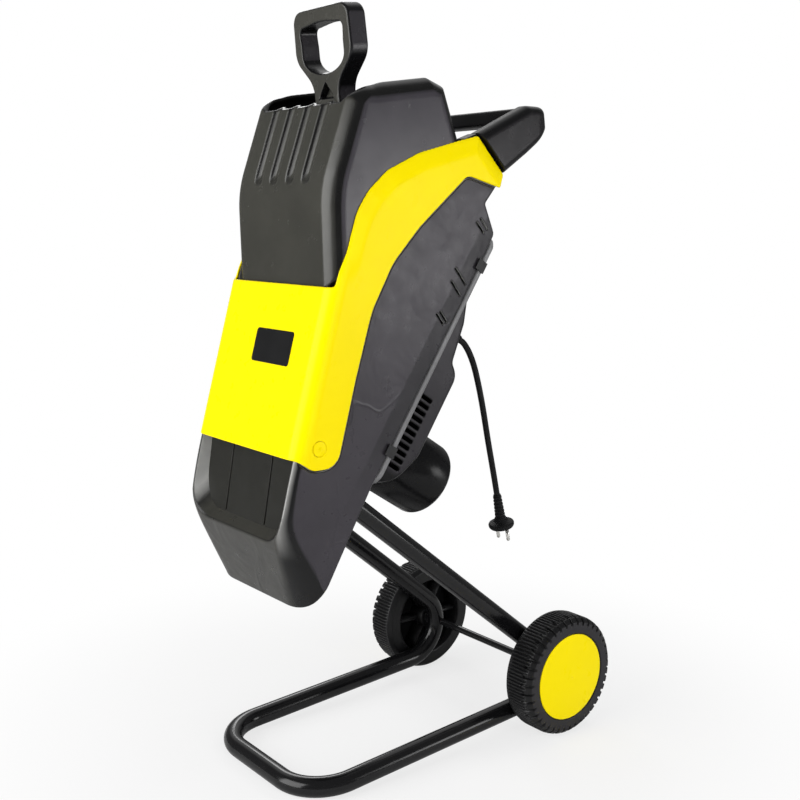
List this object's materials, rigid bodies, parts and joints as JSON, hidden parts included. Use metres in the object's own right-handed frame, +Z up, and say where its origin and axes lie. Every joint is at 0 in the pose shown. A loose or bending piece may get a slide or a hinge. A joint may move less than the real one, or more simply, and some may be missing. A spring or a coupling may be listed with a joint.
{
  "type": "garden shredder",
  "caption": "Electric garden shredder: tall fluted hopper with a D-handle plunger, yellow saddle cover, rear motor, and a bent tube frame on two wheels.",
  "frame": {"origin": "centre of the machine's outline on the ground", "axes": "+Z up, -Y to the front where the chips fall, +X to the right wheel as seen in the picture"},
  "size_m": [0.341, 0.492, 0.922],
  "materials": {
    "frame_black": "gloss black paint",
    "steel": "bright zinc plated",
    "bright_steel": "ground edge",
    "wheel_black": "moulded tread",
    "yellow": "semi gloss moulded",
    "housing_grey": "fine grain",
    "hopper_grey": "fine grain",
    "black_plastic": "fine grain",
    "label_black": "blank printed film",
    "clip_grey": "bent strip",
    "can_black": "satin black paint",
    "alloy": "die cast",
    "iron": "laminated or machined",
    "copper": "enamelled copper",
    "brass": "pressed",
    "carbon": "pressed carbon",
    "fan_white": "moulded",
    "green": "moulded",
    "red": "moulded",
    "black_rubber": "matt",
    "pin_chrome": "nickel plated"
  },
  "bodies": {
    "machine": {"frame_tube": "frame_black", "axle": "frame_black", "axle_washers": "steel", "push_nuts": "steel", "frame_bolts": "steel", "front_housing": "housing_grey", "saddle_cover": "yellow", "screw_caps": "yellow", "label_plate": "label_black", "hopper": "hopper_grey", "transport_grip": "black_plastic", "grip_screws": "steel", "rear_cover": "housing_grey", "ridge_clips": "clip_grey", "cover_screws": "steel", "motor_can": "can_black", "gear_plate": "alloy", "plate_screws": "steel", "cutter_bearings": "steel", "motor_bearings": "steel", "stator": "iron", "field_coils": "copper", "brush_holders": "brass", "brushes": "carbon", "switch_box": "black_plastic", "cord_gland": "black_rubber", "cord": "black_rubber", "plug": "black_rubber", "plug_pins": "pin_chrome"},
    "right_wheel": {"wheel_right": "wheel_black", "hub_cap_right": "yellow"},
    "left_wheel": {"wheel_left": "wheel_black", "hub_cap_left": "yellow"},
    "pusher": {"plunger": "black_plastic"},
    "cutter": {"cutter_shaft": "steel", "cutter_gear": "steel", "knife_disc": "iron", "knives": "bright_steel", "knife_screws": "steel", "disc_nut": "steel"},
    "rotor": {"motor_shaft": "steel", "armature": "iron", "commutator": "copper", "motor_fan": "fan_white"},
    "knob": {"locking_knob": "black_plastic"},
    "start": {"start_button": "green"},
    "stop": {"stop_button": "red"},
    "reset": {"reset_button": "black_plastic"}
  },
  "joints": [
    {"name": "right_wheel_roll", "type": "hinge", "parent": "machine", "child": "right_wheel", "pos_m": [0.1445, 0.166, 0.08], "axis": [1, 0, 0], "continuous": true},
    {"name": "left_wheel_roll", "type": "hinge", "parent": "machine", "child": "left_wheel", "pos_m": [-0.1445, 0.166, 0.08], "axis": [1, 0, 0], "continuous": true},
    {"name": "plunger_lift", "type": "slide", "parent": "machine", "child": "pusher", "axis": [0, -0.1045, 0.9945], "range_m": [0, 0.2]},
    {"name": "cutter_spin", "type": "hinge", "parent": "machine", "child": "cutter", "pos_m": [0, -0.05535, 0.4645], "axis": [0, 0.8348, -0.5505], "continuous": true},
    {"name": "rotor_spin", "type": "hinge", "parent": "machine", "child": "rotor", "pos_m": [0, -0.08342, 0.42193], "axis": [0, 0.8348, -0.5505], "continuous": true},
    {"name": "knob_turn", "type": "hinge", "parent": "machine", "child": "knob", "pos_m": [0, 0.05475, 0.63147], "axis": [0, 0.8348, -0.5505], "continuous": true},
    {"name": "start_press", "type": "slide", "parent": "machine", "child": "start", "axis": [0, -0.8348, 0.5505], "range_m": [0, 0.003], "stiffness_N_per_m": 400},
    {"name": "stop_press", "type": "slide", "parent": "machine", "child": "stop", "axis": [0, -0.8348, 0.5505], "range_m": [0, 0.003], "stiffness_N_per_m": 400},
    {"name": "reset_press", "type": "slide", "parent": "machine", "child": "reset", "axis": [0, -0.8348, 0.5505], "range_m": [0, 0.002], "stiffness_N_per_m": 400}
  ],
  "couplings": [
    {"joint": "rotor_spin", "follows": "cutter_spin", "ratio": -3}
  ]
}
